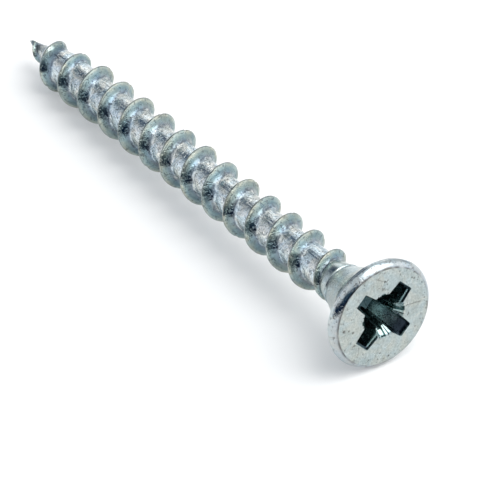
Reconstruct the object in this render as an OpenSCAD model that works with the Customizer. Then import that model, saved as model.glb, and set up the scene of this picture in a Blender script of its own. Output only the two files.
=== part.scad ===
// Countersunk chipboard screw, 4.0 x 45 mm, one piece of zinc-plated steel.
// A flat head with a cross recess, a short neck, a coarse thread along the
// whole shank and a sharp point that the thread runs out onto.
// The screw lies on its head rim and on the thread, point toward -X, with
// the origin on the surface under the middle of its box.

/* [Shank] */
// Overall length, from the point to the head face
screw_length = 45; // [25:0.5:80]
// Diameter of the core between the turns
core_d = 2.54; // [1.6:0.02:4]
// Length of the bare cone of the point
point_length = 4.7; // [2:0.1:9]

/* [Thread] */
// Outside diameter over the thread
thread_d = 4; // [2.8:0.05:6.5]
// Distance between two turns
thread_pitch = 2.69; // [1.4:0.01:4]
// Width of the thin crest
crest_width = 0.12; // [0.04:0.01:0.4]
// Width of the thread where it leaves the core
root_width = 1.1; // [0.3:0.05:1.3]
// Share of the thread's height reached at the fillet of its root
fillet_rise = 0.2; // [0.05:0.01:0.45]
// Share of the flank's width that the fillet takes
fillet_width = 0.5; // [0.2:0.05:0.7]
// Distance of the first sign of the thread from the point
thread_start = 0.45; // [0.2:0.05:1]
// Length over which the thread grows to its full height
thread_rise = 4.6; // [2:0.1:8]
// Length over which the thread fades toward the neck
thread_fade = 4; // [1:0.1:6]
// Distance from the head face to where the thread has faded out
thread_stop = 3.6; // [2:0.1:8]
// Angle of the thread's first end, from the side that lies down
thread_start_angle = 132; // [0:1:359]

/* [Neck] */
// Diameter of the plain neck
neck_d = 3; // [2.4:0.05:4.2]
// Length of the plain neck
neck_length = 0.5; // [0.2:0.05:3]
// Length of the cone that joins the core to the neck
neck_step = 1.4; // [0.2:0.05:3]
// Diameter of the raised lip at the top of the neck
lip_d = 3.3; // [2.6:0.05:4.4]
// Length of the lip along the screw
lip_length = 0.2; // [0.1:0.05:0.4]
// Length of the flared part below the head
flare_length = 2.5; // [0.5:0.05:4]
// Diameter of the flared part where it meets the head
flare_d = 5.3; // [3.4:0.05:6.5]

/* [Head] */
// Outside diameter of the head
head_d = 8.3; // [5:0.05:13]
// Full angle of the countersunk cone
countersink_angle = 90; // [60:1:120]
// Diameter of the flat face inside the rounded rim
face_d = 7.5; // [4.6:0.05:12.4]
// Depth of the rounded edge from the face to the widest part
rim_front = 0.5; // [0.1:0.05:1.2]
// Length of the widest part of the rim
rim_band = 0.1; // [0.05:0.05:0.8]
// Length of the rounded edge behind the widest part
rim_back = 0.25; // [0.1:0.05:0.8]
// Diameter where the rim turns into the countersunk cone
rim_back_d = 8.1; // [4.8:0.05:12.8]
// Slant of the rounded edge where it meets the face
edge_slant_face = 35; // [5:1:60]
// Slant of the rounded edge where it meets the widest part
edge_slant_side = 74; // [62:1:90]

/* [Recess] */
// Span of the cross recess at the face, over two opposite slots
recess_span = 5.2; // [2.6:0.05:7]
// Span of the cross recess at its bottom
recess_bottom_span = 2.38; // [1.4:0.02:4]
// Depth of the recess
recess_depth = 2.9; // [1:0.05:3.4]
// Width of each slot
slot_width = 1.25; // [0.6:0.01:2]
// Diameter of the flared mouth in the middle of the recess
hub_d = 3.3; // [1.6:0.05:4.6]
// Depth of the flared mouth
hub_mouth_depth = 0.66; // [0.2:0.02:1.4]
// Diameter of the middle of the recess under its mouth
hub_step_d = 2.4; // [1.4:0.02:3.6]
// Diameter of the middle of the recess at its bottom
hub_bottom_d = 1.84; // [1.2:0.02:3.4]
// Span of the four small corner notches at the face
notch_span = 3.5; // [1.9:0.05:5]
// Width of the four small corner notches
notch_width = 0.36; // [0.2:0.02:1]
// Depth of the shallow cone at the bottom of the recess
recess_point = 0.4; // [0.1:0.05:0.8]
// Angle of the recess, from the side that lies down
recess_angle = 42.7; // [0:0.1:89.9]

/* [Hidden] */
$fn = 96;

// Columns of facets in one turn of the thread
turn_columns = 48;
// Rows of facets in one turn: valley, root, fillet, crest, crest, fillet, root
turn_rows = 7;
// Radius of the core, and the height of the thread on it
core_r = core_d / 2;
thread_height = thread_d / 2 - core_r;
// Small overlap of a cutting solid past the face
cut_past = 0.5;
// Share of the root width kept where the thread has almost no height
least_width = 0.15;

// Stations along the axis, measured from the point
rim_wide_end = screw_length - rim_front;
rim_wide_start = rim_wide_end - rim_band;
rim_start = rim_wide_start - rim_back;
cone_start = rim_start - (rim_back_d - flare_d) / 2 / tan(countersink_angle / 2);
flare_start = cone_start - flare_length;
neck_start = flare_start - neck_length;
step_start = neck_start - neck_step;
thread_end = screw_length - thread_stop;

// Number of columns: up to the end of the thread and one closing turn
columns = turn_columns + ceil((thread_end - thread_start) / thread_pitch * turn_columns);

function clamp(v) = max(0, min(1, v));

// Radius of the core at a station along the axis
function core_at(s) = core_r * clamp(s / point_length);

// Share of the full thread height at a station along the axis
function share_at(s) =
    sin(90 * clamp((s - thread_start) / thread_rise)) * clamp((thread_end - s) / thread_fade);

// Station of the thread's middle line at a column
function middle_at(i) = thread_start + thread_pitch * i / turn_columns;

// Width of the thread's root at a column
function root_at(i) = root_width * max(least_width, share_at(middle_at(i)));

// Half width of the crest, which is never wider than the root
function crest_half(i) = min(crest_width, root_at(i) / 2) / 2;

// Half width of the thread at the fillet, between crest and root
function fillet_half(i) =
    crest_half(i) + (root_at(i) / 2 - crest_half(i)) * (1 - fillet_width);

// Distance of a row from the thread's middle line, along the axis
function row_offset(i, j) =
    j == 0 ? -min(thread_pitch / 2, middle_at(i) / 2) :
    j == 1 ? -root_at(i) / 2 :
    j == 2 ? -fillet_half(i) :
    j == 3 ? -crest_half(i) :
    j == 4 ? crest_half(i) :
    j == 5 ? fillet_half(i) : root_at(i) / 2;

// Share of the thread's height that a row stands at
function row_share(j) = j < 2 || j > 5 ? 0 : j == 2 || j == 5 ? fillet_rise : 1;

// One corner of the skin, at column i and row j
function corner(i, j) =
    let (
        s = middle_at(i) + row_offset(i, j),
        a = thread_start_angle + 360 * i / turn_columns,
        r = core_at(s) + thread_height * share_at(middle_at(i)) * row_share(j)
    )
    [r * cos(a), r * sin(a), s];

// Number of a corner in the list; row 7 is row 0 of the next turn
function at(i, j) = j == turn_rows ? at(i + turn_columns, 0) : i * turn_rows + j;

// The core and the thread as one closed skin that winds with the thread
module threaded_shank() {
    skin = [for (i = [0:columns], j = [0:turn_rows - 1]) corner(i, j)];
    point = len(skin);
    end = point + 1;
    last = columns - turn_columns;
    first = turn_columns - 1;
    // The winding bands of the skin
    bands = [
        for (i = [0:columns - 1], j = [0:turn_rows - 1])
            if (j < turn_rows - 1 || i < last)
                for (t = [0, 1])
                    t == 0 ? [at(i, j), at(i, j + 1), at(i + 1, j + 1)]
                           : [at(i, j), at(i + 1, j + 1), at(i + 1, j)]
    ];
    // The bare cone of the point, closed along the first column
    cone = [for (i = [0:first - 1]) [point, at(i, 0), at(i + 1, 0)]];
    seam = [for (j = [0:turn_rows - 1]) [at(first, 0), at(0, j + 1), at(0, j)]];
    seam_point = [[point, at(first, 0), at(0, 0)]];
    // The closing turn, which lies inside the neck
    lid = [for (i = [last:columns - 1]) [end, at(i + 1, turn_rows - 1), at(i, turn_rows - 1)]];
    lid_side = [for (j = [0:turn_rows - 2]) [end, at(columns, j), at(columns, j + 1)]];
    lid_seam = [[end, at(last, turn_rows - 1), at(columns, 0)]];
    color([0.78, 0.81, 0.8])
        polyhedron(
            points = concat(skin, [[0, 0, 0], [0, 0, middle_at(columns)]]),
            faces = concat(bands, cone, seam, seam_point, lid, lid_side, lid_seam),
            convexity = 20
        );
}

// Outline of the front edge, an arc from the widest part to the flat face
function front_edge(steps) = [
    for (k = [0:steps])
        let (slant = edge_slant_side + (edge_slant_face - edge_slant_side) * k / steps)
        [
            face_d / 2 + (head_d - face_d) / 2 * (sin(slant) - sin(edge_slant_face))
                / (sin(edge_slant_side) - sin(edge_slant_face)),
            rim_wide_end + rim_front * (cos(slant) - cos(edge_slant_side))
                / (cos(edge_slant_face) - cos(edge_slant_side))
        ]
];

// Outline of the rounded edge behind the widest part
function back_edge(steps) = [
    for (k = [0:steps])
        [
            rim_back_d / 2 + (head_d - rim_back_d) / 2 * sin(90 * k / steps),
            rim_wide_start - rim_back * cos(90 * k / steps)
        ]
];

// Neck, flare, countersunk cone and rim, turned in one profile
module head_body() {
    color([0.8, 0.83, 0.81])
        rotate_extrude()
            polygon(concat(
                [
                    [0, step_start],
                    [core_r - (neck_d / 2 - core_r) / 4, step_start],
                    [neck_d / 2, neck_start],
                    [neck_d / 2, flare_start - lip_length / 2],
                    [lip_d / 2, flare_start],
                    [lip_d / 2, flare_start + lip_length / 2],
                    [flare_d / 2, cone_start]
                ],
                back_edge(3),
                front_edge(6),
                [[0, screw_length]]
            ));
}

// A plate with sloping ends that cuts two opposite arms of the recess
module recess_arm(span, bottom_span, width) {
    slope = (span - bottom_span) / 2 / recess_depth;
    rotate([90, 0, 0])
        linear_extrude(height = width, center = true)
            polygon([
                [-bottom_span / 2, -recess_depth],
                [bottom_span / 2, -recess_depth],
                [span / 2 + slope * cut_past, cut_past],
                [-span / 2 - slope * cut_past, cut_past]
            ]);
}

// The middle of the recess, a flared mouth over a slim taper, in one profile
module recess_hub() {
    mouth_slope = (hub_d - hub_step_d) / 2 / hub_mouth_depth;
    rotate_extrude()
        polygon([
            [0, -recess_depth - recess_point],
            [hub_bottom_d / 2, -recess_depth],
            [hub_step_d / 2, -hub_mouth_depth],
            [hub_d / 2 + mouth_slope * cut_past, cut_past],
            [0, cut_past]
        ]);
}

// The cross recess: four slots, a flared middle and four corner notches
module recess() {
    color([0.2, 0.24, 0.24])
        translate([0, 0, screw_length])
            rotate([0, 0, recess_angle]) {
                for (a = [0, 90])
                    rotate([0, 0, a])
                        recess_arm(recess_span, recess_bottom_span, slot_width);
                for (a = [45, 135])
                    rotate([0, 0, a])
                        recess_arm(notch_span, hub_bottom_d, notch_width);
                recess_hub();
            }
}

// The screw along its own axis: point at zero, head up, underside toward +X
module standing_screw() {
    difference() {
        union() {
            threaded_shank();
            head_body();
        }
        recess();
    }
}

// Stations where the thread passes the underside near the point
function underside(k) = thread_start + thread_pitch * (k - thread_start_angle / 360);

// Tilt at which one such turn and the head rim both touch the surface
function tilt_for(s) =
    atan2(head_d / 2 - core_at(s) - thread_height * share_at(s), rim_wide_start - s);

// The screw rests on the turn that asks for the least tilt
rest_tilt = min([for (k = [1:6]) tilt_for(underside(k))]);

// Ends of the box along X, and the height of the point over the surface
box_end = screw_length * cos(rest_tilt) + face_d / 2 * sin(rest_tilt);
point_height = head_d / 2 * cos(rest_tilt) - rim_wide_start * sin(rest_tilt);

module screw() {
    translate([-box_end / 2, 0, point_height])
        rotate([0, 90 - rest_tilt, 0])
            standing_screw();
}

screw();
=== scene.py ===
"""Dresses the countersunk chipboard screw in bright zinc and puts it in a soft studio.

The screw is one finely meshed skin: a helical grid for the threaded shank and a grid of rings for the neck, head and
cross recess. Sizes are in millimetres along the screw's own axis, measured from the point, and become metres in the
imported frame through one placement.
"""

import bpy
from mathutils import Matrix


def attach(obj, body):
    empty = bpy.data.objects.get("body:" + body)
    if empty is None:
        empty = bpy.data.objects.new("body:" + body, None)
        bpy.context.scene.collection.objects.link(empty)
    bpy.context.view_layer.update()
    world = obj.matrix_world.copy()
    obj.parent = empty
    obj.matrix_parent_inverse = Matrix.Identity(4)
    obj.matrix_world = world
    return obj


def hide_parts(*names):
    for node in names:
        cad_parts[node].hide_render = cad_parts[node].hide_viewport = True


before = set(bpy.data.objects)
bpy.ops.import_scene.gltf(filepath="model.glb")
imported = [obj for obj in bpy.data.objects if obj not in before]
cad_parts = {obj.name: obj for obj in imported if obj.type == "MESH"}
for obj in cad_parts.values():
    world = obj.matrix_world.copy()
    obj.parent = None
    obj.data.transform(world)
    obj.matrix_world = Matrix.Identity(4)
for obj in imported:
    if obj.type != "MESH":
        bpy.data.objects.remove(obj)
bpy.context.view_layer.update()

import logging
import math
from dataclasses import dataclass, field
from enum import Enum

import bpy
import numpy as np
from mathutils import Matrix, Vector

LOG = logging.getLogger("screw")
LENGTH = 45.0
MM = 0.001  # metres in one millimetre
NEAR = 0.001  # mm within which a point counts as on a surface
SLACK = 0.01  # mm that are allowed for wear when points are sorted
SHARP_ANGLE = 32.0
GRAIN_SCALE = 6000.0
SCRATCH_SCALE = 500.0
TINT_SCALE = 700.0

MIXED = {"data_type": "RGBA"}
MULTIPLIED = {"data_type": "RGBA", "blend_type": "MULTIPLY"}

Array = np.ndarray
Pair = tuple[float, float]
Triple = tuple[float, float, float]
Row = tuple[float, ...]
Socket = bpy.types.NodeSocket


class Zone(Enum):
    """The parts of the surface that have a finish of their own, in the order of the material slots."""

    THREAD = 0
    NECK = 1
    RIM = 2
    FACE = 3
    RECESS = 4


def clamp(value: Array | float, low: float = 0.0, high: float = 1.0) -> Array:
    """Returns the value held between low and high."""
    return np.clip(value, low, high)


def ease(value: Array | float, start: float, end: float) -> Array:
    """Returns a smooth step of the value, from 0 at start to 1 at end."""
    t = clamp((np.asarray(value, float) - start) / (end - start))
    return t * t * (3 - 2 * t)


def steps(count: int) -> list[float]:
    """Returns even steps that end at 1, the first one above 0."""
    return [k / count for k in range(1, count + 1)]


def radii(points: Array) -> Array:
    """Returns how far each point lies from the axis, never quite 0."""
    return np.maximum(np.hypot(points[:, 0], points[:, 1]), 1e-9)


def linked(name: str, data: bpy.types.ID) -> bpy.types.Object:
    """Makes an object of the data and links it to the scene.

    Args:
        name: the object's name.
        data: its mesh, camera or lamp.

    Returns:
        The new object.
    """
    made = bpy.data.objects.new(name, data)
    bpy.context.scene.collection.objects.link(made)
    return made


@dataclass(frozen=True)
class Waves:
    """A smooth, seeded, uneven field made of sine waves that run in all directions.

    Args:
        seed: chooses the field.
        length: typical distance between two bumps, in mm.
        count: number of waves that are summed.
    """

    seed: int
    length: float
    count: int = 28

    def at(self, points: Array) -> Array:
        """Samples the field.

        Args:
            points: positions in mm, one per row.

        Returns:
            One value per point, mostly between -1 and 1.
        """
        rng = np.random.default_rng(self.seed)
        way = rng.normal(size=(self.count, 3))
        way /= np.linalg.norm(way, axis=1)[:, None]
        pace = 2 * math.pi / (self.length * rng.uniform(0.6, 1.7, self.count))
        phase = rng.uniform(0, 2 * math.pi, self.count)
        return np.sin(points @ (way * pace[:, None]).T + phase).sum(axis=1) / math.sqrt(self.count / 2) / 1.6


def wander(points: Array, seed: int, long: float, short: float) -> Array:
    """Sums long waves and short ones of the next seed, by their lengths in mm, and holds them between -1 and 1."""
    return clamp(Waves(seed, long).at(points) * 0.6 + Waves(seed + 1, short).at(points) * 0.4, -1, 1)


@dataclass(frozen=True)
class Placement:
    """Where the screw lies: on its head's rim and a thread crest near the point."""

    rest_tilt: float = 3.11374
    box_end: float = 45.13726
    point_height: float = 1.73214

    def to_frame(self, points: Array) -> Array:
        """Turns points from the screw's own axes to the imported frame.

        Args:
            points: x towards the underside, y sideways, z from the point to the head, in mm.

        Returns:
            The same points in metres in the frame.
        """
        c, s = math.cos(math.radians(self.rest_tilt)), math.sin(math.radians(self.rest_tilt))
        x, y, z = points[:, 0], points[:, 1], points[:, 2]
        return np.stack([-self.box_end / 2 + z * c + x * s, y, self.point_height + z * s - x * c], axis=1) * MM


@dataclass
class Draft:
    """Collects the points, faces, zones and masks of one mesh."""

    points: list[Array] = field(default_factory=list)
    masks: list[Array] = field(default_factory=list)
    faces: list[tuple[int, ...]] = field(default_factory=list)
    zones: list[int] = field(default_factory=list)
    count: int = 0

    def add_points(self, points: Array, worn: Array, band: Array, track: Array | None = None) -> Array:
        """Adds points with their masks.

        Args:
            points: positions in mm, one per row.
            worn: how far each point is darkened, 0 to 1: real dents and scratches on the face, painted shade in the
                lip's grooves, along the face's edge and in the recess, and a painted dark reflection along the thread's
                crest.
            band: where each point lies between the root of its form, 0, and its outer edge, 1.
            track: how far each point lies across and along the way that its form was rolled, in mm.

        Returns:
            The numbers of the new points.
        """
        self.points.append(points)
        self.masks.append(np.column_stack([worn, band, np.zeros((len(points), 3)) if track is None else track]))
        numbers = np.arange(self.count, self.count + len(points))
        self.count += len(points)
        return numbers

    def add_face(self, corners: list[int], zone: Zone) -> None:
        """Adds one face, leaving out corners that repeat.

        Args:
            corners: point numbers, in order round the face.
            zone: the face's zone.
        """
        kept = [n for k, n in enumerate(corners) if n != corners[k - 1]]
        if len(kept) > 2:
            self.faces.append(tuple(kept))
            self.zones.append(zone.value)

    def add_grid(self, numbers: Array, zones: list[Zone]) -> None:
        """Adds the faces between neighbouring rows of a grid that closes on itself sideways.

        Args:
            numbers: point numbers, one row of the array per ring.
            zones: the zone of each band between two rings.
        """
        rows = numbers.tolist()
        for low, high, zone in zip(rows, rows[1:], zones):
            for corners in zip(low, low[1:] + low[:1], high[1:] + high[:1], high):
                self.add_face(list(corners), zone)

    def build(self, name: str, placement: Placement) -> bpy.types.Object:
        """Makes the mesh object.

        Args:
            name: the piece's name.
            placement: turns the screw's axes to the frame.

        Returns:
            The new object, linked to the scene.
        """
        used = np.unique(np.concatenate([np.array(face) for face in self.faces]))
        renumber = np.zeros(self.count, int)
        renumber[used] = np.arange(len(used))
        mesh = bpy.data.meshes.new(name)
        points = placement.to_frame(np.vstack(self.points)[used])
        mesh.from_pydata(points.tolist(), [], [tuple(renumber[list(face)].tolist()) for face in self.faces])
        mesh.polygons.foreach_set("material_index", self.zones)
        masks = np.vstack(self.masks)[used].astype(np.float32)
        for label, kind, key, data in (
            # worn holds real face marks together with painted shade and the crest's painted dark reflection.
            ("worn", "FLOAT", "value", masks[:, 0]),
            ("band", "FLOAT", "value", masks[:, 1]),
            ("track", "FLOAT_VECTOR", "vector", masks[:, 2:]),
        ):
            mesh.attributes.new(label, kind, "POINT").data.foreach_set(key, data.ravel())
        mesh.validate(clean_customdata=False)
        mesh.shade_smooth()
        mesh.set_sharp_from_angle(angle=math.radians(SHARP_ANGLE))
        mesh.update()
        return linked(name, mesh)


@dataclass(frozen=True)
class ThreadWear:
    """How rolling and use have changed the thread's skin, always inwards from the nominal surface."""

    unevenness: float = 0.012
    flank_share: float = 1.6
    flank_reach: float = 1.25
    calm: Pair = (0.3, 3.0)
    nick_length: float = 0.5
    nick_stretch: float = 0.2
    nick_level: float = 0.75
    nick_depth: float = 0.06
    crest_from: float = 0.9

    def worn_down(self, nominal: Array, flank: Array) -> Array:
        """Sinks the skin unevenly and nicks the crest.

        Args:
            nominal: nominal points in mm, one per row.
            flank: where each point lies between the thread's root, 0, and its crest, 1.

        Returns:
            The worn points.
        """
        out = nominal.copy()
        rolling = 1 + self.flank_share * np.sin(np.pi * clamp(flank * self.flank_reach))
        sink = self.unevenness * rolling * (1 + wander(nominal, 11, 1.3, 0.45)) * ease(nominal[:, 2], *self.calm)
        nicks = Waves(13, self.nick_length).at(nominal * [1, 1, self.nick_stretch]) - self.nick_level
        nicked = clamp(nicks) * self.nick_depth * (flank > self.crest_from)
        reach = radii(nominal)
        out[:, :2] *= ((reach - sink - nicked) / reach)[:, None]
        return out


@dataclass(frozen=True)
class ThreadedShank:
    """The coarse thread on its slim core, from the sharp point to the neck, as one helical skin."""

    core_d: float = 2.54
    point_length: float = 4.7
    point_blunt: float = 0.19
    blunt_reach: float = 0.5
    blunt_start: float = 0.08
    neck_d: float = 3.0
    neck_dip: float = 0.25
    step_start: float = 38.35
    neck_start: float = 39.75
    smooth_start: float = 39.05
    thread_d: float = 4.0
    pitch: float = 2.69
    crest_width: float = 0.12
    root_width: float = 1.66
    least_root: float = 0.3
    root_limit: float = 0.47
    flank_bow: float = 2.85
    start: float = 0.14
    rise: float = 4.91
    fin_rise: Pair = (0.3, 1.0)
    fade: float = 4.0
    end: float = 41.4
    start_angle: float = 90.51
    dip_at: float = 5.8
    dip_reach: float = 0.6
    dip: float = 0.36
    full_rise: Pair = (1.2, 2.2)
    full_fall: Pair = (3.4, 5.2)
    full_root: float = 1.2
    full_bow: float = 1.3
    hidden_from: float = 40.5
    overrun: float = 0.12
    columns: int = 120
    crest_rows: Row = (0.55, 1.0)
    flank_rows: Row = (0.03, 0.08, 0.15, 0.24, 0.35, 0.48, 0.63, 0.8, 1.0)
    ahead_rows: Row = (0.0, 0.4, 0.75)
    behind_rows: Row = (0.25, 0.6)
    crest_flat: float = 0.56
    crest_edge: float = 1.001
    crest_round: float = 0.985
    raised_share: float = 0.05
    point_band: float = 0.4
    point_reach: float = 1.5
    track_pace: float = 0.4
    # The top of the crest gets a dark line, a painted reflection of the dark surroundings on its rounded top.
    crest_painted_dark_from: float = 0.93
    crest_painted_dark_pace: float = 14
    wear: ThreadWear = ThreadWear()

    def core_radius(self, along: Array) -> Array:
        """Radius of the core at distances along the axis, with its slightly blunt point."""
        blunt = self.point_blunt * np.exp(-along / self.blunt_reach) * clamp(along / self.blunt_start)
        return self.core_d / 2 * clamp(along / self.point_length) + blunt

    def base_radius(self, along: Array) -> Array:
        """Sizes the cone, core and neck under the thread.

        Args:
            along: distances along the axis.

        Returns:
            The radius at each of them.
        """
        step = (self.neck_d - self.core_d) / 2
        climb = clamp((along - self.step_start) / (self.neck_start - self.step_start))
        neck = self.core_d / 2 - self.neck_dip * step + (1 + self.neck_dip) * step * climb
        return np.maximum(self.core_radius(along), np.where(along > self.step_start, neck, 0))

    def share(self, along: Array) -> Array:
        """Shapes the thread's height along the screw.

        Args:
            along: distances along the axis.

        Returns:
            The share of the full height at each, from 0 at the point, over 1, to 0 at the neck.
        """
        risen = np.sin(np.radians(90 * clamp((along - self.start) / self.rise)))
        worn = 1 - self.dip * np.exp(-(((along - self.dip_at) / self.dip_reach) ** 2))
        return risen * worn * ease(along, *self.fin_rise) * clamp((self.end - along) / self.fade)

    def root(self, middle: Array) -> tuple[Array, Array]:
        """Sizes the thread's foot, which is fuller on the first turn.

        Args:
            middle: where the thread's middle lies along the axis, for each column.

        Returns:
            Half of the foot's width, and the power that hollows the flank, for each column.
        """
        power = np.where(middle > LENGTH / 2, 0.5, 1.0)
        half_root = self.root_width / 2 * np.maximum(self.least_root, self.share(middle) ** power)
        full = ease(middle, *self.full_rise) * (1 - ease(middle, *self.full_fall))
        return half_root * (1 - full) + self.full_root * full, self.flank_bow - self.full_bow * full

    def rows(self, middle: Array, half_root: Array, kept: int) -> Array:
        """Places the grid's rows along the axis, from the valley ahead of the thread to the one behind it.

        Args:
            middle: where the thread's middle lies, for each kept column and those of one turn more.
            half_root: half of the foot's width, for the same columns.
            kept: number of columns that the grid keeps.

        Returns:
            Distances along the axis, columns by rows.
        """
        crest, root = self.crest_width / 2, np.minimum(half_root, self.root_limit * middle)[:kept, None]
        cap = np.tile(np.array(self.crest_rows) * crest, (kept, 1))
        half = np.hstack([cap, crest + (root - crest) * np.array(self.flank_rows)])
        thread = middle[:kept, None] + np.hstack([-half[:, ::-1], np.zeros((kept, 1)), half])
        valley = (middle - np.minimum(self.pitch / 2, middle / 2))[:, None]
        low, high = valley[:kept], valley[self.columns:]
        ahead = low + (thread[:, :1] - low) * np.array(self.ahead_rows)
        behind = thread[:, -1:] + (high - thread[:, -1:]) * np.array(self.behind_rows)
        return np.hstack([ahead, thread, behind])

    def add_to(self, draft: Draft) -> None:
        """Adds the skin's points and faces.

        Args:
            draft: collects them, and has no points yet.
        """
        turns = (self.hidden_from + self.overrun + self.pitch / 2 - self.start) / self.pitch
        kept = math.ceil(turns * self.columns) + 2
        number = np.arange(kept + self.columns)
        middle = self.start + self.pitch * number / self.columns
        turn = np.radians(self.start_angle + 360 * number / self.columns)
        half_root, bow = self.root(middle)
        along = self.rows(middle, half_root, kept)
        middle, turn, half_root, bow = (column[:kept, None] for column in (middle, turn, half_root, bow))
        share = self.share(middle)
        fold, crest = np.abs(along - middle) / half_root, self.crest_width / 2 / half_root
        flank = clamp((1 - fold) / (1 - crest)) ** bow
        flank = np.where(fold <= self.crest_edge * crest, self.crest_round, flank)
        flank = np.where(fold <= self.crest_flat * crest, 1.0, flank)
        height = (self.thread_d - self.core_d) / 2 * share * flank
        radius = np.maximum(self.base_radius(along), self.core_radius(along) + height)
        turn = np.broadcast_to(turn, radius.shape)
        nominal = np.stack([radius * np.cos(turn), radius * np.sin(turn), along], axis=-1).reshape(-1, 3)
        skin = self.wear.worn_down(nominal, flank.reshape(-1))
        raised = (flank * (share > self.raised_share)).reshape(-1)
        raised = np.maximum(raised, self.point_band * np.exp(-((skin[:, 2] / self.point_reach) ** 2)))
        across, onward = np.abs(along - middle) + radius, turn * self.thread_d * self.track_pace
        track = np.stack([across, onward, np.zeros(radius.shape)], axis=-1).reshape(-1, 3)
        # worn here marks the crest's top for its painted dark reflection line.
        numbers = draft.add_points(skin, clamp((raised - self.crest_painted_dark_from) * self.crest_painted_dark_pace), raised, track)
        self.add_faces(draft, numbers.reshape(radius.shape).tolist(), skin[:, 2], raised)

    def add_faces(self, draft: Draft, grid: list[list[int]], along: Array, raised: Array) -> None:
        """Joins the columns, closes each turn onto the next and caps the point.

        Args:
            draft: collects the faces.
            grid: point numbers, columns by rows.
            along: distance of each point along the axis.
            raised: where each point lies between the thread's root and its crest.
        """
        tip = int(draft.add_points(np.zeros((1, 3)), np.ones(1), np.zeros(1))[0])
        count, last = self.columns, len(grid) - 1
        for i in range(last):
            here, there = list(grid[i]), list(grid[i + 1])
            if i + 1 + count <= last:
                here.append(grid[i + count][0])
                there.append(grid[i + 1 + count][0])
            for a, b, c, d in zip(here, there, there[1:], here[1:]):
                if along[a] < self.hidden_from:
                    smooth = along[a] > self.smooth_start and max(raised[a], raised[d]) < 2 * SLACK
                    draft.add_face([a, b, c, d], Zone.NECK if smooth else Zone.THREAD)
        for i in range(count - 1):
            draft.add_face([tip, grid[i + 1][0], grid[i][0]], Zone.THREAD)
        draft.add_face([tip, *grid[0], grid[count][0], grid[count - 1][0]], Zone.THREAD)


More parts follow.
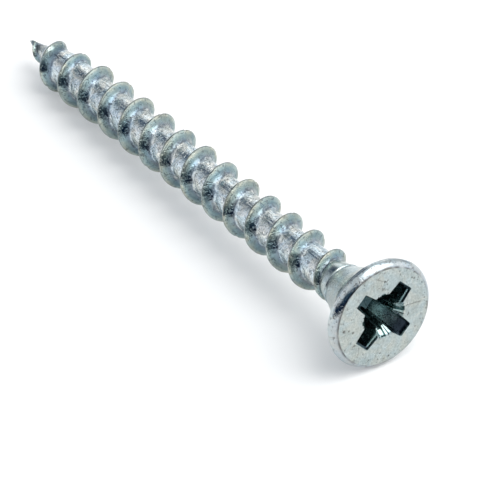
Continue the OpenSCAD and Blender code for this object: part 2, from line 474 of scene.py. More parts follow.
@dataclass(frozen=True)
class CrossRecess:
    """The cross recess with a small rib groove between its wings, given by its outline at each depth."""

    angle: float = 42.7
    depths: Row = (0.0, 0.04, 0.2, 0.27, 0.66, 2.9)
    wing_reach: Row = (2.63, 2.6, 2.59, 2.5, 2.305, 1.19)
    wing_half: Row = (0.62, 0.595, 0.59, 0.55, 0.54, 0.48)
    root_half: Row = (0.73, 0.7, 0.69, 0.66, 0.62, 0.5)
    hub_reach: Row = (1.69, 1.64, 1.54, 1.49, 1.2, 0.92)
    rib_reach: Row = (1.77, 1.75, 1.7, 1.66, 1.4, 1.02)
    rib_half: float = 0.2
    tip_half: float = 0.14
    flute: float = 0.08
    corner: float = 0.06
    straight_share: float = 0.6
    least_turn: float = 0.01
    wide_wings: float = 1.1
    slim_wings: float = 0.9
    floor_edge: float = 2.9
    floor_middle: float = 3.3
    floor_rounds: int = 12
    wall_rings: int = 16
    floor_rings: int = 8
    wall_levels: Row = (0.0, 0.012, 0.04, 0.09, 0.15, 0.2, 0.235, 0.27, 0.36, 0.46, 0.56, 0.66)
    counts: tuple[int, ...] = (9, 12, 8, 4, 4)
    # Where the painted shade on the wing ends and the ledge lies.
    end_share: Pair = (0.95, 0.985)
    end_top: Pair = (0.03, 0.2)
    end_foot: Pair = (0.7, 1.6)
    ledge_share: float = 0.5
    ledge_reach: Pair = (1.65, 1.95)
    ledge_top: Pair = (0.27, 0.45)

    @property
    def columns(self) -> int:
        """Counts the points of one outline."""
        return 8 * sum(self.counts)

    def size(self, name: str, depth: Array) -> Array:
        """Reads one of the recess's sizes at each depth."""
        return np.interp(depth, self.depths, getattr(self, name))

    def outline(self, depth: Array) -> Array:
        """Traces the recess's outline.

        Args:
            depth: depth below the face of each point of the outline, in mm, one for each column.

        Returns:
            One flat position for each column, counted round the screw's axis.
        """
        per_quarter = self.columns // 4
        out = np.zeros((self.columns, 2))
        for k in range(self.columns):
            quarter, step = divmod(k, per_quarter)
            flip = 2 * step >= per_quarter
            place = per_quarter - step if flip else step
            d = float(depth[k])
            wide = (quarter % 2 == 1) != flip
            x, y = self.eighth(place, d, self.wide_wings if wide else self.slim_wings)
            if flip:
                x, y = y, x
            turn = math.radians(self.angle + 90 * quarter)
            out[k] = (x * math.cos(turn) - y * math.sin(turn), x * math.sin(turn) + y * math.cos(turn))
        return out

    def eighth(self, place: int, depth: float, spread: float) -> Pair:
        """Finds one point of the outline between a wing's middle line and the diagonal.

        Args:
            place: the point's number, 0 on the wing's middle line.
            depth: depth below the face, in mm.
            spread: how wide this wing is against the average.

        Returns:
            Its distances along and across the wing.
        """
        names = ("wing_reach", "wing_half", "root_half", "hub_reach", "rib_reach")
        reach, half, root, hub, rib = (float(self.size(name, depth)) for name in names)
        half, root = half * spread, root * spread
        n_end, n_side, n_arc, n_rib, n_tip = self.counts
        corner, straight = self.corner, self.straight_share
        if place <= n_end:
            t = place / n_end
            if t < straight:
                return reach, (half - corner) * t / straight
            a = (t - straight) / (1 - straight) * math.pi / 2
            return reach - corner * (1 - math.cos(a)), half - corner * (1 - math.sin(a))
        place -= n_end
        join = math.asin(root / hub)
        if place <= n_side:
            t = place / n_side
            return (reach - corner) * (1 - t) + hub * math.cos(join) * t, half + (root - half) * t
        place -= n_side
        leave = max(math.pi / 4 - math.asin(self.rib_half / hub), join + self.least_turn)
        if place <= n_arc:
            a = join + (leave - join) * place / n_arc
            bow = hub + self.flute * max(0.0, 1 - abs(place - n_arc / 2))
            return bow * math.cos(a), bow * math.sin(a)
        place -= n_arc
        s = math.sqrt(0.5)
        base = (hub * math.cos(leave), hub * math.sin(leave))
        top = ((rib + self.tip_half) * s, (rib - self.tip_half) * s)
        if place <= n_rib:
            t = place / n_rib
            return base[0] + (top[0] - base[0]) * t, base[1] + (top[1] - base[1]) * t
        place -= n_rib
        t = place / n_tip
        return top[0] + (rib * s - top[0]) * t, top[1] + (rib * s - top[1]) * t

    def wing_end_shade(self, ring: Array) -> Array:
        """Marks the end walls of the wings and the deeper outer parts beside them, painted dark as shade deep in the
        recess.

        Args:
            ring: flat positions and depths, one row for each column.

        Returns:
            The mask of each column, 0 to 1.
        """
        turn = math.radians(self.angle)
        x = np.abs(ring[:, 0] * math.cos(turn) + ring[:, 1] * math.sin(turn))
        y = np.abs(ring[:, 1] * math.cos(turn) - ring[:, 0] * math.sin(turn))
        reach, depth = np.maximum(x, y), ring[:, 2]
        at_end = ease(reach / self.size("wing_reach", depth), *self.end_share)
        wall = at_end * ease(depth, *self.end_top) * (1 - ease(depth, *self.end_foot))
        return np.maximum(wall, self.ledge_share * ease(reach, *self.ledge_reach) * ease(depth, *self.ledge_top))

    def flute_shade(self) -> Array:
        """Marks the columns that lie in the thin flutes beside the ribs, painted dark as shade in these grooves.

        Returns:
            1 for those columns and 0 for the others.
        """
        quarter = self.columns // 4
        middle = self.counts[0] + self.counts[1] + self.counts[2] // 2
        place = np.arange(self.columns) % quarter
        return ((place == middle) | (place == quarter - middle)).astype(float)

    def floor_depth(self, points: Array) -> Array:
        """Depth of the shallow cone of the floor under flat points."""
        share = np.hypot(points[:, 0], points[:, 1]) / self.wing_reach[-1]
        return self.floor_middle + (self.floor_edge - self.floor_middle) * share

    def rings(self) -> list[Array]:
        """Builds the rings from the face's edge down the walls and over the floor.

        Returns:
            One array of flat positions and depths for each ring, the deepest last.
        """
        deep = np.full(self.columns, self.floor_edge)
        for _ in range(self.floor_rounds):
            deep = self.floor_depth(self.outline(deep))
        walls = [np.full(self.columns, level) for level in self.wall_levels]
        out = [np.column_stack([self.outline(depth), depth]) for depth in walls]
        foot = self.wall_levels[-1]
        for t in steps(self.wall_rings):
            depth = foot + (deep - foot) * t
            out.append(np.column_stack([self.outline(depth), depth]))
        edge = out[-1][:, :2]
        for t in steps(self.floor_rings)[:-1]:
            flat = edge * (1 - t)
            out.append(np.column_stack([flat, self.floor_depth(flat)]))
        return out


@dataclass(frozen=True)
class FaceWear:
    """Small dents and scratches in the flat face, at flat positions round the screw's axis, in mm."""

    strokes: tuple[Row, ...] = (
        (-0.08, 1.95, 0.04, 3.1, 0.07, 0.03),
        (-4.2, 0.72, -3.4, 1.0, 0.05, 0.02),
        (-3.25, -0.45, -2.85, 0.1, 0.06, 0.02),
    )
    pits: tuple[Row, ...] = (
        (-2.74, 0.27, 0.1, 0.05), (-0.1, -3.27, 0.13, 0.05), (0.3, -2.53, 0.1, 0.04),
        (0.02, -2.86, 0.07, 0.03), (3.4, 0.31, 0.09, 0.04), (2.9, -0.4, 0.07, 0.03),
        (-2.2, 2.5, 0.06, 0.02), (1.9, 2.6, 0.06, 0.02), (2.4, -2.3, 0.07, 0.02),
    )
    edge_pits: int = 48
    edge_turn: Pair = (2.2, 1.2)
    edge_reach: Pair = (3.3, 3.74)
    edge_size: Pair = (0.025, 0.07)
    edge_depth: float = 0.3
    seed: int = 5

    def all_pits(self) -> list[Row]:
        """Lists the chosen dents and the seeded tiny ones along the face's edge.

        Returns:
            For each dent its place, its radius and its depth.
        """
        rng = np.random.default_rng(self.seed)
        turns = rng.normal(*self.edge_turn, self.edge_pits)
        reach = rng.uniform(*self.edge_reach, self.edge_pits)
        sizes = rng.uniform(*self.edge_size, self.edge_pits)
        tiny = zip(reach * np.cos(turns), reach * np.sin(turns), sizes, self.edge_depth * sizes)
        return [*self.pits, *tiny]

    def at(self, points: Array) -> tuple[Array, Array]:
        """Samples the marks.

        Args:
            points: positions in mm, one per row.

        Returns:
            The depth of the marks at each point, and how dark they make it, 0 to 1.
        """
        flat = points[:, :2]
        deep, dark = np.zeros(len(flat)), np.zeros(len(flat))
        for x0, y0, x1, y1, half, depth in self.strokes:
            start, way = np.array([x0, y0]), np.array([x1 - x0, y1 - y0])
            along = clamp((flat - start) @ way / (way @ way))
            away = np.linalg.norm(flat - start - along[:, None] * way, axis=1)
            mark = 1 - ease(away, 0.2 * half, half)
            deep, dark = np.maximum(deep, depth * mark), np.maximum(dark, 0.5 * mark)
        for x, y, radius, depth in self.all_pits():
            mark = 1 - ease(np.hypot(flat[:, 0] - x, flat[:, 1] - y), 0.3 * radius, 1.3 * radius)
            deep, dark = np.maximum(deep, depth * mark), np.maximum(dark, mark)
        return deep, dark


@dataclass(frozen=True)
class NeckAndHead:
    """The lip, the flare, the cone under the head, the rounded rim and the flat face with its recess."""

    lip_d: float = 3.3
    lip_start: float = 40.25
    # Each lip ring's third number darkens it: painted shade in the grooves on both sides of the lip.
    lip_form: tuple[Triple, ...] = (
        (-0.2, -0.25, 0.0), (-0.15, -0.16, 1.0), (-0.11, -0.11, 0.7), (-0.06, -0.045, 0.0), (-0.01, -0.008, 0.0),
        (0.04, 0.0, 0.0), (0.08, -0.02, 0.3), (0.115, -0.055, 1.0), (0.15, -0.06, 1.0), (0.19, -0.03, 0.3),
    )
    flare_gap: float = 0.22
    flare_power: float = 1.06
    flare_d: float = 5.3
    cone_start: float = 42.75
    rim_start: float = 44.15
    rim_wide_start: float = 44.4
    rim_wide_end: float = 44.5
    rim_back_d: float = 8.1
    head_d: float = 8.3
    face_d: float = 7.5
    edge_in: float = 35.0
    edge_out: float = 74.0
    # Painted shadow line along the face's edge, darkest at the edge.
    face_edge_shade: Row = (0.0,) * 9 + (0.3, 0.8, 1.0)
    flare_rings: int = 14
    cone_rings: int = 8
    rim_rings: int = 4
    face_rings: int = 36
    face_crowding: float = 0.9
    recess_shift: Pair = (-0.036, 0.042)
    # How much darker the top of the recess wall is made.
    recess_edge: float = 0.35
    turn_shares: Pair = (0.35, 0.65)
    recess: CrossRecess = CrossRecess()
    wear: FaceWear = FaceWear()
    unevenness: float = 0.01
    recess_ripple: float = 1.4
    face_ripple: float = 0.5
    # The side of the head where the painted shade is heaviest, and the least of it that stays elsewhere.
    shade_turn: float = 2.3
    least_shade: float = 0.06

    def side(self) -> list[tuple[float, float, Zone, float]]:
        """Lists the rings from inside the neck to the face's edge.

        Returns:
            For each ring its distance along the axis, its radius, the zone of the band after it and its mask of painted
            shade.
        """
        lip, flare, cone = self.lip_d / 2, self.flare_d / 2, self.rim_back_d / 2
        rings = [(self.lip_start + along, lip + rise, Zone.NECK, mask) for along, rise, mask in self.lip_form]
        flare_start = self.lip_start + self.flare_gap
        for t in steps(self.flare_rings):
            along = flare_start + (self.cone_start - flare_start) * t
            rings.append((along, lip + (flare - lip) * t ** self.flare_power, Zone.NECK, 0.0))
        for t in steps(self.cone_rings):
            along = self.cone_start + (self.rim_start - self.cone_start) * t
            rings.append((along, flare + (cone - flare) * t, Zone.NECK if t < 1 else Zone.RIM, 0.0))
        wide, face = self.head_d / 2, self.face_d / 2
        for t in steps(self.rim_rings):
            a = math.pi / 2 * t
            along = self.rim_start + (self.rim_wide_start - self.rim_start) * math.sin(a)
            rings.append((along, cone + (wide - cone) * (1 - math.cos(a)), Zone.RIM, 0.0))
        rings.append((self.rim_wide_end, wide, Zone.RIM, 0.0))
        into, out = math.radians(self.edge_in), math.radians(self.edge_out)
        for t, mask in zip(steps(len(self.face_edge_shade)), self.face_edge_shade):
            a = out + (into - out) * t
            high = (math.cos(a) - math.cos(out)) / (math.cos(into) - math.cos(out))
            far = (math.sin(a) - math.sin(into)) / (math.sin(out) - math.sin(into))
            along = self.rim_wide_end + (LENGTH - self.rim_wide_end) * high
            rings.append((along, face + (wide - face) * far, Zone.RIM if t < 1 else Zone.FACE, mask))
        return rings

    def directions(self, rim: Array) -> Array:
        """Spreads the columns round the head.

        Args:
            rim: the recess's outline in the face, one flat position for each column.

        Returns:
            One unit direction for each column, between an even spread and the recess's own corners.
        """
        own = np.unwrap(np.arctan2(rim[:, 1], rim[:, 0]))
        even = own[0] + 2 * math.pi * np.arange(len(own)) / len(own)
        angles = own * self.turn_shares[0] + even * self.turn_shares[1]
        return np.stack([np.cos(angles), np.sin(angles)], axis=1)

    def add_to(self, draft: Draft) -> None:
        """Adds the head's points and faces.

        Args:
            draft: collects them.
        """
        shift = np.array(self.recess_shift)
        columns = self.recess.columns
        rim = self.recess.outline(np.zeros(columns)) + shift
        circle = self.directions(rim)
        points, masks, zones = [], [], []
        for along, radius, zone, mask in self.side():
            points.append(np.column_stack([circle * radius, np.full(columns, along)]))
            masks.append(np.full(columns, mask))
            zones.append(zone)
        edge = circle * self.face_d / 2
        for t in steps(self.face_rings)[:-1]:
            inward = t ** self.face_crowding
            points.append(np.column_stack([edge * (1 - inward) + rim * inward, np.full(columns, LENGTH)]))
            masks.append(np.zeros(columns))
            zones.append(Zone.FACE)
        for k, ring in enumerate(self.recess.rings()):
            points.append(np.column_stack([ring[:, :2] + shift, LENGTH - ring[:, 2]]))
            # Painted shade in the flutes, a darker band at the recess's mouth, and painted shade on the wing ends and
            # ledge.
            flute_and_mouth_dark = np.maximum(self.recess.flute_shade(), self.recess_edge if k <= 2 else 0.0)
            masks.append(np.maximum(self.recess.wing_end_shade(ring), flute_and_mouth_dark))
            zones.append(Zone.RECESS)
        grid = np.stack(points)
        skin = self.worn_down(grid.reshape(-1, 3))
        on_face = np.repeat([zone is Zone.FACE for zone in zones], columns)
        in_recess = np.repeat([zone is Zone.RECESS for zone in zones], columns)
        deep, dark = self.wear.at(skin)
        skin[:, 2] -= np.where(on_face, deep, 0)
        # Painted shade, patchy and one-sided outside the recess, joins the face's real dents and scratches.
        worn = np.maximum(np.stack(masks).reshape(-1) * self.uneven_shade(skin, in_recess), np.where(on_face, dark, 0))
        numbers = draft.add_points(skin, worn, self.band(skin, in_recess)).reshape(grid.shape[:2])
        draft.add_grid(numbers, zones[:-1])
        floor = np.array([[*shift, LENGTH - self.recess.floor_middle]])
        middle = int(draft.add_points(floor, np.zeros(1), np.ones(1))[0])
        last = numbers[-1].tolist()
        for here, there in zip(last, last[1:] + last[:1]):
            draft.add_face([here, there, middle], Zone.RECESS)

    def uneven_shade(self, skin: Array, in_recess: Array) -> Array:
        """Makes the painted shade in the lip's grooves and along the face's edge patchy and heavier on one side, as the
        light falls.

        Args:
            skin: positions in mm, one per row.
            in_recess: whether each point lies in the recess, where all painted shade stays.

        Returns:
            How much of its painted shade each point keeps.
        """
        shade_side = 0.55 + 0.6 * np.cos(np.arctan2(skin[:, 1], skin[:, 0]) + self.shade_turn)
        patchy = clamp(shade_side * (0.95 + 0.9 * Waves(31, 0.9).at(skin)), self.least_shade, 1.0)
        return np.where(in_recess, 1.0, patchy)

    def band(self, skin: Array, in_recess: Array) -> Array:
        """Places each point on its form.

        Args:
            skin: positions in mm, one per row.
            in_recess: whether each point lies in the recess.

        Returns:
            0 on the rim's wide part to 1 at the face's edge, or 0 at the face to 1 at the recess's floor.
        """
        sunk = clamp((LENGTH - skin[:, 2]) / self.recess.floor_middle)
        high = clamp((skin[:, 2] - self.rim_wide_end) / (LENGTH - self.rim_wide_end))
        return np.where(in_recess, sunk, high * (radii(skin) > self.face_d / 2 - 5 * SLACK))

    def worn_down(self, nominal: Array) -> Array:
        """Gives the head its slight unevenness, inwards from the nominal surface.

        Args:
            nominal: nominal points in mm, one per row.

        Returns:
            The worn points.
        """
        out = nominal.copy()
        reach = radii(nominal)
        uneven = 1 + wander(nominal, 21, 1.6, 0.5)
        depth = LENGTH - nominal[:, 2]
        in_recess = (depth > NEAR) & (depth < self.recess.floor_middle + SLACK)
        in_recess &= reach < self.recess.size("wing_reach", depth) + 5 * SLACK
        sink = self.unevenness * uneven * np.where((depth > SLACK) & ~in_recess, ease(depth, 0, 0.6), 0)
        out[:, :2] *= ((reach - sink) / reach)[:, None]
        ripple = Waves(41, 0.8).at(nominal) * np.where(in_recess, ease(depth, 0, 0.4), 0)
        out[:, :2] *= ((reach + self.recess_ripple * self.unevenness * ripple) / reach)[:, None]
        on_face = (depth < NEAR) & (reach < self.face_d / 2 + SLACK)
        out[:, 2] -= np.where(on_face, self.face_ripple * self.unevenness * uneven, 0)
        return out


class Wires:
    """Adds nodes to one node tree and joins them."""

    def __init__(self, tree: bpy.types.NodeTree) -> None:
        """Keeps the tree."""
        self.tree = tree

    def node(self, kind: str, inputs: dict[str | int, object], **settings: object) -> bpy.types.Node:
        """Adds a node, sets it and joins it.

        Args:
            kind: the node's type name, without the words that all of them start with.
            inputs: for each input a plain value, or the output socket that feeds it.
            settings: properties of the node.

        Returns:
            The new node.
        """
        made = self.tree.nodes.new(f"ShaderNode{kind}")
        for name, value in settings.items():
            setattr(made, name, value)
        for key, value in inputs.items():
            if isinstance(value, Socket):
                self.tree.links.new(value, made.inputs[key])
            else:
                made.inputs[key].default_value = value
        return made

    def maths(self, operation: str, *values: object) -> Socket:
        """Adds a Math node and returns its output."""
        return self.node("Math", dict(enumerate(values)), operation=operation).outputs[0]

    def times(self, one: object, other: object) -> Socket:
        """Multiplies two values."""
        return self.maths("MULTIPLY", one, other)

    def above(self, value: object, level: object, gain: float) -> Socket:
        """Says how far a value lies above a level, times a gain."""
        return self.times(self.maths("SUBTRACT", value, level), gain)

    def own(self, name: str, output: str = "Fac") -> Socket:
        """Reads one of the mesh's own values."""
        return self.node("Attribute", {}, attribute_name=name).outputs[output]

    def place(self, output: str = "Object") -> Socket:
        """Reads the position on the object, or another coordinate."""
        return self.node("TexCoord", {}).outputs[output]

    def mapped(self, place: Socket, scale: Triple, turn: Triple = (0.0, 0.0, 0.0)) -> Socket:
        """Turns and scales a position."""
        return self.node("Mapping", {"Vector": place, "Rotation": turn, "Scale": scale}).outputs[0]

    def noise(self, place: Socket, scale: object, detail: float, rough: float = 0.5, bent: float = 0.0) -> Socket:
        """Adds a Noise Texture and returns its value."""
        inputs = {"Vector": place, "Scale": scale, "Detail": detail, "Roughness": rough, "Distortion": bent}
        return self.node("TexNoise", inputs).outputs[0]

    def spread(self, value: Socket, start: float, end: float, low: float, high: float, kind: str = "LINEAR") -> Socket:
        """Maps the range start to end onto low to high, and holds the value there."""
        inputs = {"Value": value, "From Min": start, "From Max": end, "To Min": low, "To Max": high}
        return self.node("MapRange", inputs, interpolation_type=kind).outputs[0]

    def mix(self, factor: object, first: object, second: object, **settings: object) -> Socket:
        """Mixes two values, or colours when the settings say so."""
        return self.node("Mix", {"Factor": factor, "A": first, "B": second}, **settings).outputs["Result"]


class Group(Wires):
    """A new shader node group with named inputs and outputs."""

    def __init__(self, name: str, inputs: dict[str, object], outputs: dict[str, str]) -> None:
        """Makes the empty group.

        Args:
            name: the group's name.
            inputs: the usual value of each input; a row of numbers makes a colour.
            outputs: the kind of each output, Float or Color.
        """
        super().__init__(bpy.data.node_groups.new(name, "ShaderNodeTree"))
        kinds = {label: "Color" if isinstance(value, tuple) else "Float" for label, value in inputs.items()}
        for way, sockets in (("INPUT", kinds), ("OUTPUT", outputs)):
            for label, kind in sockets.items():
                made = self.tree.interface.new_socket(label, in_out=way, socket_type=f"NodeSocket{kind}")
                if way == "INPUT":
                    made.default_value = inputs[label]
        self.given = self.tree.nodes.new("NodeGroupInput").outputs
        self.wanted = self.tree.nodes.new("NodeGroupOutput").inputs

    def give(self, results: dict[str, Socket]) -> bpy.types.NodeTree:
        """Joins the results to the outputs.

        Args:
            results: the socket for each output.

        Returns:
            The finished group.
        """
        for label, socket in results.items():
            self.tree.links.new(socket, self.wanted[label])
        return self.tree


class ZincGroups:
    """The shader effects that the zinc finishes share."""

    def __init__(self) -> None:
        """Builds the groups once."""
        self.mottle = self.make_mottle()
        self.scratches = self.make_scratches()
        self.tarnish = self.make_tarnish()

    def make_mottle(self) -> bpy.types.NodeTree:
        """Builds the cloudy, fine-grained look of a zinc coat.

        Returns:
            A group that gives a blotch field, a fine grain field, dark specks and a height.
        """
        inputs = {"Blotch scale": 900.0, "Speck level": 0.66, "Streak": 0.0}
        made = Group("Zinc mottle", inputs, dict.fromkeys(("Blotch", "Grain", "Specks", "Height"), "Float"))
        place = made.place()
        blotch = made.noise(place, made.given["Blotch scale"], 4.0, 0.6, 0.4)
        grain = made.noise(place, GRAIN_SCALE, 3.0, 0.65)
        spots = made.noise(place, 0.6 * GRAIN_SCALE, 1.0, 0.5, 0.8)
        patch = made.maths("ADD", spots, made.times(made.maths("SUBTRACT", 0.5, blotch), 0.35))
        specks = made.node("Clamp", {0: made.above(patch, made.given["Speck level"], 14.0)}).outputs[0]
        cloudy = made.maths("ADD", made.times(blotch, 0.35), made.times(grain, 0.65))
        streak = made.noise(made.mapped(made.own("track", "Vector"), (9.0, 0.7, 1.0)), 1.0, 3.0, 0.6)
        height = made.mix(made.given["Streak"], cloudy, streak)
        return made.give({"Blotch": blotch, "Grain": grain, "Specks": specks, "Height": height})

    def make_scratches(self) -> bpy.types.NodeTree:
        """Builds fine handling scratches in two directions.

        Returns:
            A group that gives a mask of thin lines.
        """
        made = Group("Fine scratches", {}, {"Mask": "Float"})
        place = made.place()
        masks = []
        for turn, stretch in (((0.5, 0.2, 0.9), (1.0, 22.0, 9.0)), ((1.1, 0.7, 0.1), (14.0, 1.0, 19.0))):
            lines = made.noise(made.mapped(place, stretch, turn), SCRATCH_SCALE, 2.0)
            masks.append(made.node("Clamp", {0: made.above(lines, 0.62, 12.0)}).outputs[0])
        return made.give({"Mask": made.maths("MAXIMUM", *masks)})

    def make_tarnish(self) -> bpy.types.NodeTree:
        """Builds the faint drift of the passivation film from cream to teal.

        Returns:
            A group that multiplies a colour by the drifting tint.
        """
        made = Group("Passivation tint", {"Color": (0.6, 0.6, 0.6, 1), "Amount": 1.0}, {"Color": "Color"})
        drift = made.spread(made.noise(made.place(), TINT_SCALE, 2.0, 0.5, 1.2), 0.38, 0.62, 0.0, 1.0)
        tint = made.mix(drift, (0.84, 0.98, 1.0, 1), (1.0, 0.98, 0.86, 1), **MIXED)
        return made.give({"Color": made.mix(made.given["Amount"], made.given["Color"], tint, **MULTIPLIED)})


@dataclass(frozen=True)
class ZincFinish:
    """Bright zinc with a thin clear blue passivation, as one zone of the screw shows it."""

    name: str
    tones: tuple[tuple[float, Triple], ...]
    cloud: Triple = (0.82, 0.85, 0.86)
    # edge is the dark colour of real marks, painted shade and painted dark reflection, mixed in by the worn mask.
    edge: Triple = (0.12, 0.13, 0.14)
    mark_and_shade_share: float = 0.5
    roughness: Pair = (0.16, 0.34)
    blotch_scale: float = 900.0
    speck_level: float = 0.68
    speck_share: float = 0.5
    speck_depth: float = 0.4
    tint: float = 0.6
    bump: float = 0.3
    bump_distance: float = 0.00005
    scratch: float = 0.3
    scratch_roughness: float = 0.15
    streak: float = 0.0
    drift: float = 0.6
    drift_middle: float = 0.55

    def base_colour(self, coat: Wires, mottle: bpy.types.Node, groups: ZincGroups) -> Socket:
        """Builds the colour of the coat, with its dark marks, painted shade and painted dark reflection mixed in.

        Args:
            coat: the material's nodes.
            mottle: the placed mottle group.
            groups: the shared shader effects.

        Returns:
            The socket with the colour.
        """
        drift = coat.above(mottle.outputs["Blotch"], self.drift_middle, self.drift)
        ramp = coat.node("ValToRGB", {0: coat.maths("ADD", coat.own("band"), drift)})
        stops = ramp.color_ramp.elements
        while len(stops) > 1:
            stops.remove(stops[-1])
        stops[0].position, stops[0].color = self.tones[0][0], (*self.tones[0][1], 1)
        for position, tone in self.tones[1:]:
            stops.new(position).color = (*tone, 1)
        tinted = coat.node("Group", {"Color": ramp.outputs[0], "Amount": self.tint}, node_tree=groups.tarnish)
        cloud = coat.spread(mottle.outputs["Height"], 0.62, 0.38, 0.0, 1.0)
        shade = coat.mix(cloud, tinted.outputs[0], (*self.cloud, 1), **MULTIPLIED)
        specks = coat.times(mottle.outputs["Specks"], self.speck_share)
        # Mixes in the dark of real marks, painted shade and painted reflection, and the random specks.
        share = coat.maths("MAXIMUM", coat.times(coat.own("worn"), self.mark_and_shade_share), specks)
        return coat.mix(share, shade, (*self.edge, 1), **MIXED)

    def material(self, groups: ZincGroups) -> bpy.types.Material:
        """Builds the material.

        Args:
            groups: the shared shader effects.

        Returns:
            The finished material.
        """
        made = bpy.data.materials.new(self.name)
        made.use_nodes = True
        coat = Wires(made.node_tree)
        shader = made.node_tree.nodes["Principled BSDF"].inputs
        shader["Metallic"].default_value = 1.0
        flank = coat.spread(coat.own("band"), 0.02, 0.2, 0.0, self.streak)
        chosen = {"Blotch scale": self.blotch_scale, "Speck level": self.speck_level, "Streak": flank}
        mottle = coat.node("Group", chosen, node_tree=groups.mottle)
        height = mottle.outputs["Height"]
        lines = coat.node("Group", {}, node_tree=groups.scratches).outputs["Mask"]
        low, high = self.roughness
        rough = coat.spread(height, 0.35, 0.65, high, low)
        specks = coat.times(mottle.outputs["Specks"], self.speck_depth)
        sunk = coat.maths("ADD", coat.times(lines, self.scratch), specks)
        relief = {"Strength": self.bump, "Distance": self.bump_distance, "Height": coat.maths("SUBTRACT", height, sunk)}
        for label, socket in (
            ("Base Color", self.base_colour(coat, mottle, groups)),
            ("Roughness", coat.maths("ADD", rough, coat.times(lines, self.scratch_roughness))),
            ("Normal", coat.node("Bump", relief).outputs[0]),
        ):
            coat.tree.links.new(socket, shader[label])
        return made


@dataclass(frozen=True)
class Window:
    """One soft-edged patch of the studio round the screw, by direction."""

    colour: Triple
    azimuth: float
    azimuth_half: float
    azimuth_soft: float
    low: float
    high: float
    height_soft: float


@dataclass(frozen=True)
class Studio:
    """A white tent with a dark opening on the camera's side, a soft lamp above, a pale floor and the camera."""

    tent: Triple = (0.82, 0.85, 0.87)
    windows: tuple[Window, ...] = (
        Window((0.56, 0.6, 0.63), 0, 180, 10, -90, 6, 16),
        Window((0.42, 0.45, 0.48), -170, 22, 10, -30, 44, 12),
        Window((0.05, 0.08, 0.13), -176, 16, 10, 34, 60, 12),
        Window((0.9, 0.92, 1.0), -126, 16, 8, -30, 24, 14),
        Window((1.0, 1.02, 1.06), -96, 16, 16, 30, 50, 12),
        Window((1.5, 1.5, 1.5), 146, 9, 8, 14, 32, 8),
        Window((2.5, 2.5, 2.45), 34, 30, 20, 38, 80, 16),
        Window((1.6, 1.6, 1.6), 14, 12, 12, 4, 40, 12),
        Window((1.55, 1.56, 1.58), 54, 34, 12, -60, 24, 12),
        Window((0.04, 0.085, 0.13), -36, 22, 12, -60, 34, 16),
        Window((0.004, 0.02, 0.055), -43, 42, 14, -60, 16, 14),
    )
    lamp_power: float = 0.22
    lamp_size: float = 0.22
    lamp_place: Triple = (0.11, 0.1, 0.26)
    floor_colour: Triple = (0.86, 0.86, 0.86)
    floor_glow: float = 0.14
    floor_half: float = 3.0
    eye: Triple = (0.28237558216, -0.1842681216, 0.24813873879)
    right: Triple = (0.56387104, 0.82573423, -0.01457502)
    down: Triple = (0.4878405, -0.34726916, -0.80088437)
    lens: float = 423.05
    sensor: float = 36.0
    clip: Pair = (0.01, 20.0)

    def add_camera(self) -> None:
        """Puts the camera where the photograph was taken from."""
        data = bpy.data.cameras.new("camera")
        data.lens, data.sensor_width = self.lens, self.sensor
        data.clip_start, data.clip_end = self.clip
        camera = linked("camera", data)
        right, up = Vector(self.right).normalized(), -Vector(self.down).normalized()
        back = right.cross(up)
        turn = Matrix((right, up, back)).transposed().to_4x4()
        camera.matrix_world = Matrix.Translation(self.eye) @ turn
        bpy.context.scene.camera = camera

    def add_floor(self) -> None:
        """Adds the pale floor, which shows white and keeps the screw's shadow."""
        mesh = bpy.data.meshes.new("floor")
        half = self.floor_half
        mesh.from_pydata([(-half, -half, 0), (half, -half, 0), (half, half, 0), (-half, half, 0)], [], [(0, 1, 2, 3)])
        floor = linked("floor", mesh)
        made = bpy.data.materials.new("floor paper")
        made.use_nodes = True
        made.node_tree.nodes.clear()
        wires = Wires(made.node_tree)
        plain = wires.node("BsdfDiffuse", {"Color": (*self.floor_colour, 1)})
        path = wires.node("LightPath", {}).outputs
        seen = wires.maths("MAXIMUM", path["Is Camera Ray"], path["Is Glossy Ray"])
        strength = wires.times(wires.maths("MAXIMUM", seen, path["Is Transmission Ray"]), self.floor_glow)
        glow = wires.node("Emission", {"Color": (1, 1, 1, 1), "Strength": strength})
        both = wires.node("AddShader", {0: plain.outputs[0], 1: glow.outputs[0]})
        wires.node("OutputMaterial", {"Surface": both.outputs[0]})
        mesh.materials.append(made)

    def add_world(self) -> None:
        """Paints the tent and its windows on the world, by direction."""
        world = bpy.data.worlds.new("tent")
        bpy.context.scene.world = world
        world.use_nodes = True
        world.node_tree.nodes.clear()
        wires = Wires(world.node_tree)
        x, y, z = wires.node("SeparateXYZ", {0: wires.place("Generated")}).outputs
        azimuth = wires.times(wires.maths("ARCTAN2", y, x), math.degrees(1))
        height = wires.times(wires.maths("ARCSINE", z), math.degrees(1))
        shown = (*self.tent, 1)
        for window in self.windows:
            away = wires.maths("SUBTRACT", azimuth, window.azimuth)
            away = wires.maths("ABSOLUTE", wires.maths("WRAP", away, 180.0, -180.0))
            side, top, under = (
                wires.spread(at, edge, edge + soft, 1.0, 0.0, "SMOOTHSTEP")
                for at, edge, soft in (
                    (away, window.azimuth_half, window.azimuth_soft),
                    (height, window.high, window.height_soft),
                    (wires.times(height, -1.0), -window.low, window.height_soft),
                )
            )
            mask = wires.times(side, wires.times(top, under))
            shown = wires.mix(mask, shown, (*window.colour, 1), **MIXED)
        light = wires.node("Background", {"Color": shown, "Strength": 1.0})
        wires.node("OutputWorld", {"Surface": light.outputs[0]})

    def add_lamp(self) -> None:
        """Hangs the soft lamp over the screw."""
        data = bpy.data.lights.new("softbox", "AREA")
        data.shape, data.size, data.energy = "SQUARE", self.lamp_size, self.lamp_power
        lamp = linked("softbox", data)
        lamp.location = self.lamp_place
        lamp.rotation_euler = (-Vector(self.lamp_place)).to_track_quat("-Z", "Y").to_euler()

    def build(self) -> None:
        """Sets the whole studio up."""
        self.add_camera()
        self.add_floor()
        self.add_world()
        self.add_lamp()
        bpy.context.scene.view_settings.view_transform = "Standard"


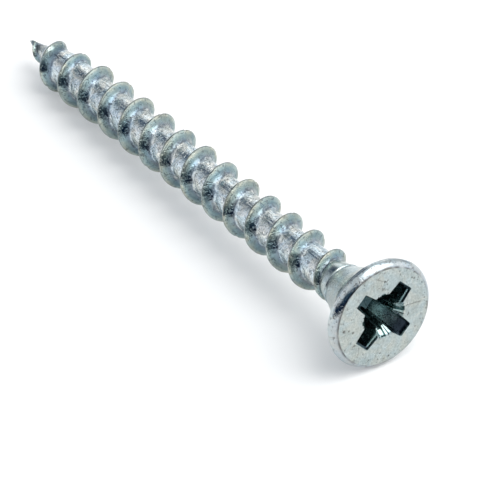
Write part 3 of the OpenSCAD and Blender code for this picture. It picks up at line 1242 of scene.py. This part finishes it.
@dataclass(frozen=True)
class Screw:
    """The whole screw: its two grids, its placement and its finishes."""

    placement: Placement = Placement()
    shank: ThreadedShank = ThreadedShank()
    head: NeckAndHead = NeckAndHead()

    def finishes(self) -> dict[Zone, ZincFinish]:
        """Chooses the finishes.

        Returns:
            The finish of each zone.
        """
        return {
            Zone.THREAD: ZincFinish(
                "zinc thread",
                # The core keeps the zinc's pale tone. The flank is painted darker towards its foot, as painted shade in
                # the thread's root and a painted dark reflection, and paler cream towards the crest, as a painted
                # sheen.
                tones=(
                    (0.0, (0.86, 0.87, 0.9)), (0.02, (0.75, 0.77, 0.81)), (0.06, (0.48, 0.52, 0.58)),
                    (0.11, (0.24, 0.27, 0.32)), (0.17, (0.25, 0.29, 0.34)), (0.3, (0.265, 0.325, 0.365)),
                    (0.5, (0.275, 0.35, 0.37)), (0.66, (0.345, 0.41, 0.415)), (0.8, (0.46, 0.5, 0.475)),
                    (0.93, (0.57, 0.59, 0.55)),
                ),
                cloud=(0.6, 0.645, 0.69), edge=(0.07, 0.08, 0.1), mark_and_shade_share=0.4, roughness=(0.1, 0.27),
                blotch_scale=2000.0, speck_level=0.62, tint=0.8, drift=0.42, streak=0.75, bump=0.72,
                bump_distance=0.00006,
            ),
            # The neck's edge colour paints the shade in the grooves beside the lip.
            Zone.NECK: ZincFinish(
                "zinc neck", tones=((0.0, (0.5, 0.55, 0.57)),), roughness=(0.16, 0.3), bump=0.14, mark_and_shade_share=0.6,
            ),
            # The rim's brown edge colour paints the shadow line along the face's edge.
            Zone.RIM: ZincFinish(
                "zinc rim", tones=((0.0, (0.56, 0.59, 0.62)), (1.0, (0.46, 0.48, 0.52))),
                edge=(0.05, 0.045, 0.04), mark_and_shade_share=0.8, roughness=(0.08, 0.2), speck_level=0.61, bump=0.25,
            ),
            # The face's edge colour darkens its real dents and scratches and the painted shadow line along its edge.
            Zone.FACE: ZincFinish(
                "zinc face", tones=((0.0, (0.54, 0.575, 0.575)),), cloud=(0.68, 0.71, 0.72),
                edge=(0.08, 0.07, 0.06), mark_and_shade_share=0.9, roughness=(0.24, 0.44), speck_level=0.66, tint=0.5, bump=0.9,
            ),
            Zone.RECESS: ZincFinish(
                # The recess is painted darker towards its floor, as shade deep in it. Its edge colour is the near-black
                # of the painted shade on the wing ends, ledge and flutes.
                "zinc recess",
                tones=((0.0, (0.38, 0.47, 0.48)), (0.66, (0.39, 0.48, 0.49)), (0.84, (0.05, 0.08, 0.09))),
                cloud=(0.78, 0.86, 0.88), edge=(0.012, 0.018, 0.032), mark_and_shade_share=0.95, roughness=(0.12, 0.24),
                speck_share=0.2, tint=0.5, drift=0.15, bump=0.25,
            ),
        }

    def build(self) -> bpy.types.Object:
        """Makes the screw's piece and dresses it.

        Returns:
            The finished object.
        """
        draft = Draft()
        self.shank.add_to(draft)
        self.head.add_to(draft)
        piece = draft.build("screw_body", self.placement)
        groups = ZincGroups()
        finishes = self.finishes()
        for zone in Zone:
            piece.data.materials.append(finishes[zone].material(groups))
        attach(piece, "root")
        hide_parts("screw")
        LOG.info("%s: %d faces", piece.name, len(piece.data.polygons))
        return piece


def main() -> None:
    """Builds the studio and the screw."""
    logging.basicConfig(level=logging.INFO, format="%(name)s %(message)s")
    Studio().build()
    Screw().build()


if __name__ == "__main__":
    main()
